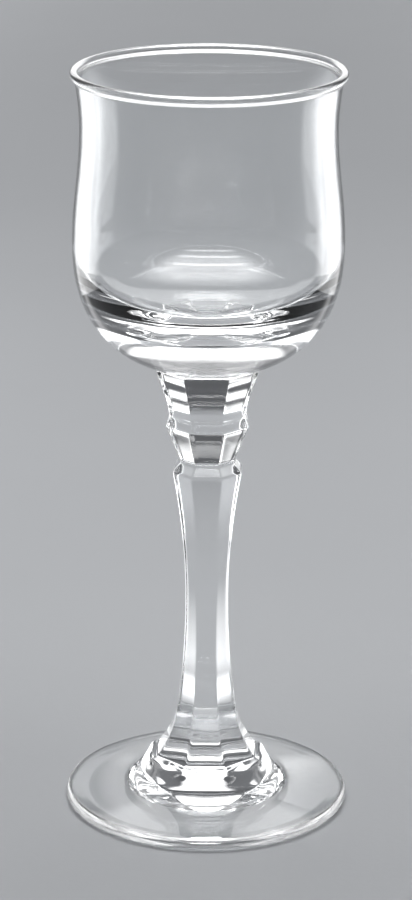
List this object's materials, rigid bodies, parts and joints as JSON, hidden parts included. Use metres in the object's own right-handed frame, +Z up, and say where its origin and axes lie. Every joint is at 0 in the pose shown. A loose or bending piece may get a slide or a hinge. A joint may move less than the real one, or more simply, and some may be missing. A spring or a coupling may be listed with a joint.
{
  "type": "cordial glass",
  "caption": "Clear glass cordial glass: a waisted round bowl with a rolled rim on an eight-sided stem with a collar and a round domed foot.",
  "frame": {"origin": "on the surface that the glass stands on, at the centre of the foot", "axes": "+Z up along the stem's axis; -Y square to the flat of the stem that faces the viewer; +X to the viewer's right"},
  "size_m": [0.0474, 0.0474, 0.125],
  "materials": {
    "foot_glass": "clear pressed glass, fire-polished, faint wear on the resting ring",
    "stem_glass": "clear pressed glass with eight polished flats",
    "bowl_glass": "clear blown glass with a thick bottom and a fire-polished rim"
  },
  "bodies": {
    "root": {"foot": "foot_glass", "stem_shaft": "stem_glass", "stem_collar": "stem_glass", "stem_cup": "stem_glass", "bowl": "bowl_glass"}
  },
  "joints": []
}
